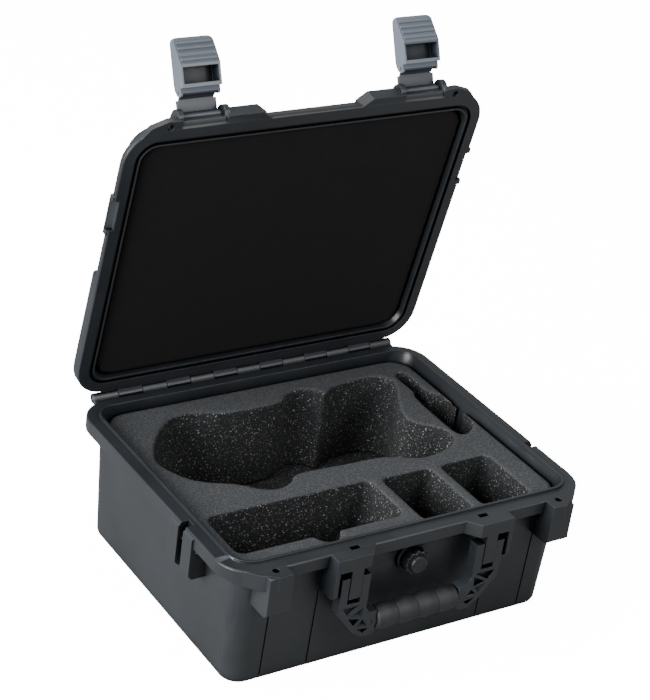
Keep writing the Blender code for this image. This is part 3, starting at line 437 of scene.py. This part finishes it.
# ---- operators -------------------------------------------------------------------------
class CASE_OT_shells(Operator):
    """Moulded finish for base, lid, handle frame and valve"""

    bl_idname = "case.shells"
    bl_label = "Shells"

    def execute(self, context):
        s = context.scene.case_shell
        # moulded plastic, taken as ABS with a fine grain: broad sheen, painted highlight lines on the edges
        # and painted shade in the hollows
        shell = moulded_plastic("abs_fine_grain", tuple(s.colour), s.roughness, s.edge_radius, s.grain,
                                1.9)
        # the same plastic with finer grain on the handle frame: slightly tighter highlights
        small = moulded_plastic("abs_smooth", scaled(s.colour, 1.1)[:3], s.roughness - 0.06,
                                0.4 * MM, s.grain * 0.7, 1.8)
        for name, body in SHELL_BODIES.items():
            smooth_piece(name, body, shell)
        # the valve looks darker than the shells, so it is taken as another plastic, such as acetal
        valve = moulded_plastic("acetal_valve", scaled(s.colour, 0.55)[:3], s.roughness, 0.4 * MM,
                                s.grain * 0.7, 1.8)
        for name, body in SMALL_BODIES.items():
            smooth_piece(name, body, valve if "valve" in name else small)
        return {"FINISHED"}


class CASE_OT_latches(Operator):
    """Satin finish for the two draw latches"""

    bl_idname = "case.latches"
    bl_label = "Latches"

    def execute(self, context):
        s = context.scene.case_latch
        # satin plastic, taken as nylon: greyer than the shells and brighter where it faces up, with painted
        # highlights on its edges and painted shade reaching further into its hollows
        nylon = moulded_plastic("nylon_satin", tuple(s.colour), s.roughness, 0.5 * MM, 0.7 * MM, 1.5,
                                painted_shade_reach=22.0 * MM)
        # the links get a darker copy of the same plastic: painted shade, as the links sit in shadow
        darker = moulded_plastic("nylon_link_painted_shade", scaled(s.colour, 0.55)[:3], s.roughness, 0.5 * MM,
                                 0.7 * MM, 1.6, painted_shade_reach=22.0 * MM)
        for name, body in LATCH_BODIES.items():
            smooth_piece(name, body, darker if "link" in name else nylon)
        return {"FINISHED"}


class CASE_OT_metal(Operator):
    """Steel rod and pins"""

    bl_idname = "case.metal"
    bl_label = "Rod and pins"

    def execute(self, context):
        finish_nodes(STEEL_NODES, drawn_steel("steel_drawn"))
        return {"FINISHED"}


class CASE_OT_seals(Operator):
    """Rubber seals"""

    bl_idname = "case.seals"
    bl_label = "Seals"

    def execute(self, context):
        # dull black rubber, taken as neoprene: keeps a faint line of light
        finish_nodes(SEAL_NODES, soft_rubber("neoprene_extruded", srgb("121314"), 0.55))
        return {"FINISHED"}


class CASE_OT_foam_insert(Operator):
    """Cut foam insert and the pad below it"""

    bl_idname = "case.foam_insert"
    bl_label = "Foam insert"

    def execute(self, context):
        s = context.scene.case_foam
        # open-cell foam, taken as polyurethane, upper face: even charcoal grain
        face = open_cell_foam("pu_foam_face", tuple(s.colour), s.cell, 0.55, 1.45, 0.12, 0.25 * MM)
        # the same foam where the cutter tore it: dark cells with pale torn tips
        wall = open_cell_foam("pu_foam_cut", scaled(s.colour, 0.5)[:3], s.cell, 0.25, 1.3, 0.55,
                              0.5 * MM)
        bm = even_mesh("base_foam", s.mesh_step)
        tear_surface(bm, s.cell, s.tear, 0.12 * MM)
        bm.normal_update()
        for polygon in bm.faces:
            polygon.material_index = 1 if abs(polygon.normal.z) < WALL_TILT else 0
        insert = new_piece(bm, "foam_insert", "base", [face, wall])
        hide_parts("base_foam")
        bm = even_mesh("base_foam_pad", PAD_STEP)
        tear_surface(bm, s.cell, 0.1 * MM, 0.25 * MM)
        pad = new_piece(bm, "foam_floor", "base", [wall])
        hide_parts("base_foam_pad")
        return {"FINISHED"}


class CASE_OT_lid_foam(Operator):
    """Flat foam in the lid"""

    bl_idname = "case.lid_foam"
    bl_label = "Lid foam"

    def execute(self, context):
        s = context.scene.case_foam
        # fine sheet, taken as closed-cell EVA: almost black, even, no shine
        sheet = open_cell_foam("eva_sheet", tuple(s.lid_colour), s.cell * 0.6, 0.75, 1.2, 0.0, 0.08 * MM)
        bm = even_mesh("lid_foam", LID_FOAM_STEP)
        tear_surface(bm, s.cell, 0.1 * MM, 0.05 * MM)
        piece = new_piece(bm, "lid_foam_sheet", "lid", [sheet])
        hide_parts("lid_foam")
        return {"FINISHED"}


class CASE_OT_grip(Operator):
    """Rubber grip with finger swells and rings"""

    bl_idname = "case.grip"
    bl_label = "Grip"

    def execute(self, context):
        s = context.scene.case_grip
        low, high = (Vector(corner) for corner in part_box("handle_grip"))
        centre = (low + high) / 2
        half = (high - low) / 2
        def profile(along):
            """Radius factors at a place from -1 to 1 along the grip."""
            swell = math.sin(math.pi * 2 * (along + 1)) ** 2
            depth = GRIP_SWELL * (1.0 - swell)
            phase = (along + 1) / 2 * s.rings % 1.0
            groove = s.groove_depth * max(0.0, 1.0 - min(phase, 1.0 - phase) / 0.06)
            collar = GRIP_COLLAR * max(0.0, abs(along) - 0.965) / 0.035
            return half.y - depth - groove - collar, half.z - depth - groove - collar

        bm = bmesh.new()
        turn = Matrix.Rotation(math.radians(90), 4, "Y")
        ring = bmesh.ops.create_circle(bm, segments=GRIP_SEGMENTS, radius=1.0, matrix=turn)["verts"]
        size = profile(-1.0)
        bmesh.ops.scale(bm, verts=ring, vec=(1.0, size[0], size[1]))
        bmesh.ops.translate(bm, verts=ring, vec=(low.x, centre.y, centre.z))
        edges = list(dict.fromkeys(edge for vert in ring for edge in vert.link_edges))
        start = list(edges)
        about = Matrix.Translation((0.0, -centre.y, -centre.z))
        last = GRIP_STATIONS - 1
        steps = [profile(-1.0 + 2.0 * i / last) for i in range(1, GRIP_STATIONS)]
        path = [(step, 2.0 * half.x / last) for step in steps]
        path += [(GRIP_BORE, 0.0), (GRIP_BORE, -2.0 * half.x)]
        for new_size, travel in path:
            made = bmesh.ops.extrude_edge_only(bm, edges=edges)["geom"]
            ring = [item for item in made if isinstance(item, bmesh.types.BMVert)]
            edges = [item for item in made if isinstance(item, bmesh.types.BMEdge)]
            bmesh.ops.translate(bm, verts=ring, vec=(travel, 0.0, 0.0))
            bmesh.ops.scale(bm, verts=ring, space=about,
                            vec=(1.0, new_size[0] / size[0], new_size[1] / size[1]))
            size = new_size
        bmesh.ops.bridge_loops(bm, edges=edges + start)
        bmesh.ops.recalc_face_normals(bm, faces=bm.faces)
        # extruding makes its faces in no fixed order, so they are put in the order of their points
        bm.verts.index_update()
        count = len(bm.verts)
        bm.faces.sort(key=lambda face: min(vert.index for vert in face.verts) * count
                      + max(vert.index for vert in face.verts))
        # soft grip, taken as thermoplastic rubber: matt, dark grey, finely speckled
        grip = new_piece(bm, "handle_grip_rings", "handle",
                         [soft_rubber("tpr_overmould", tuple(s.colour), 0.64)])
        grip.data.set_sharp_from_angle(angle=GRIP_SHARP_ANGLE)
        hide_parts("handle_grip")
        return {"FINISHED"}


class CASE_OT_stage(Operator):
    """Pale floor, soft light and the camera"""

    bl_idname = "case.stage"
    bl_label = "Studio"

    def execute(self, context):
        s = context.scene.case_stage
        self.make_floor(s)
        self.make_lights(s)
        self.make_camera(context)
        return {"FINISHED"}

    def make_floor(self, s):
        """Paper that looks white to the camera but throws little light back on the case."""
        made, tree = blank_material("studio_paper")
        grain = add_node(tree, "ShaderNodeTexNoise", {"Scale": 30.0, "Detail": 4.0},
                         {"Vector": object_point(tree)})
        seen = add_node(tree, "ShaderNodeLightPath").outputs["Is Camera Ray"]
        share = mapped(tree, seen, (0.0, 1.0), (s.bounce, 1.0))
        shader = shader_of(tree, {"Roughness": 0.95, "Specular IOR Level": 0.0,
                                  "Emission Color": (1.0, 1.0, 1.0, 1.0)})
        tone = two_tone(tree, grain.outputs["Fac"], scaled(s.floor_colour, 0.985),
                        scaled(s.floor_colour, 1.0))
        dimmed = add_node(tree, "ShaderNodeVectorMath", {"operation": "SCALE"},
                          {0: tone, "Scale": share})
        glow = add_node(tree, "ShaderNodeMath", {"operation": "MULTIPLY", 1: s.backdrop}, {0: seen})
        tree.links.new(dimmed.outputs["Vector"], shader.inputs["Base Color"])
        tree.links.new(glow.outputs["Value"], shader.inputs["Emission Strength"])
        bm = bmesh.new()
        bmesh.ops.create_grid(bm, x_segments=1, y_segments=1, size=s.floor_size / 2)
        bmesh.ops.translate(bm, verts=bm.verts, vec=(0.0, 0.0, CAD_BOX[0][2] - 0.2 * MM))
        mesh = bpy.data.meshes.new("studio_floor")
        bm.to_mesh(mesh)
        bm.free()
        mesh.materials.append(made)
        floor = bpy.data.objects.new("studio_floor", mesh)
        bpy.context.scene.collection.objects.link(floor)

    def make_lights(self, s):
        """A white sky, brighter to the camera than to the case, and three soft panels."""
        world = bpy.data.worlds.new("studio_world")
        bpy.context.scene.world = world
        world.use_nodes = True
        tree = world.node_tree
        seen = add_node(tree, "ShaderNodeLightPath").outputs["Is Camera Ray"]
        strength = mapped(tree, seen, (0.0, 1.0), (AMBIENT * s.light, s.backdrop))
        background = tree.nodes["Background"]
        background.inputs["Color"].default_value = (1.0, 1.0, 1.0, 1.0)
        tree.links.new(strength, background.inputs["Strength"])
        for name, place, target, size, power in PANELS:
            light = bpy.data.lights.new(name, "AREA")
            light.shape = "SQUARE"
            light.size = size
            light.energy = power * s.light
            panel = bpy.data.objects.new(name, light)
            panel.location = place
            direction = Vector(target) - Vector(place)
            panel.rotation_euler = direction.to_track_quat("-Z", "Y").to_euler()
            bpy.context.scene.collection.objects.link(panel)

    def make_camera(self, context):
        """Camera at the left front, looking down on the open case, slightly rolled."""
        azimuth, elevation, roll = (
            math.radians(a) for a in (CAMERA_AZIMUTH, CAMERA_ELEVATION, CAMERA_ROLL))
        back = Vector((math.sin(azimuth) * math.cos(elevation),
                       -math.cos(azimuth) * math.cos(elevation), math.sin(elevation)))
        right = (-back).cross(Vector((0.0, 0.0, 1.0))).normalized()
        up = right.cross(-back)
        side = math.cos(roll) * right + math.sin(roll) * up
        top = -math.sin(roll) * right + math.cos(roll) * up
        place = Vector(CAMERA_TARGET) + back * CAMERA_DISTANCE
        lens = bpy.data.cameras.new("studio_camera")
        lens.sensor_fit = "VERTICAL"
        lens.sensor_height = CAMERA_SENSOR
        lens.lens = CAMERA_LENS
        lens.shift_x, lens.shift_y = CAMERA_SHIFT
        lens.clip_start = 0.01
        camera = bpy.data.objects.new("studio_camera", lens)
        rows = [(side[i], top[i], back[i], place[i]) for i in range(3)] + [(0.0, 0.0, 0.0, 1.0)]
        camera.matrix_world = Matrix(rows)
        context.scene.collection.objects.link(camera)
        context.scene.camera = camera


class CASE_PT_panel(Panel):
    """Builds and finishes the case piece by piece"""

    bl_label = "Drone carrying case"
    bl_idname = "CASE_PT_panel"
    bl_space_type = "VIEW_3D"
    bl_region_type = "UI"
    bl_category = "Case"

    def draw(self, context):
        for settings in SETTINGS:
            group = getattr(context.scene, settings)
            box = self.layout.box()
            for key in group.__annotations__:
                box.prop(group, key)
        for operator in OPERATORS:
            self.layout.operator(operator.bl_idname)


SETTINGS = {
    "case_shell": ShellSettings,
    "case_latch": LatchSettings,
    "case_foam": FoamSettings,
    "case_grip": GripSettings,
    "case_stage": StageSettings,
}
OPERATORS = (
    CASE_OT_shells, CASE_OT_latches, CASE_OT_metal, CASE_OT_seals, CASE_OT_foam_insert,
    CASE_OT_lid_foam, CASE_OT_grip, CASE_OT_stage,
)


def register():
    for name, group in SETTINGS.items():
        bpy.utils.register_class(group)
        setattr(bpy.types.Scene, name, PointerProperty(type=group))
    for operator in OPERATORS:
        bpy.utils.register_class(operator)
    bpy.utils.register_class(CASE_PT_panel)


def unregister():
    bpy.utils.unregister_class(CASE_PT_panel)
    for operator in reversed(OPERATORS):
        bpy.utils.unregister_class(operator)
    for name, group in SETTINGS.items():
        delattr(bpy.types.Scene, name)
        bpy.utils.unregister_class(group)


def main():
    register()
    bpy.ops.case.shells()
    bpy.ops.case.latches()
    bpy.ops.case.metal()
    bpy.ops.case.seals()
    bpy.ops.case.foam_insert()
    bpy.ops.case.lid_foam()
    bpy.ops.case.grip()
    bpy.ops.case.stage()


if __name__ == "__main__":
    main()
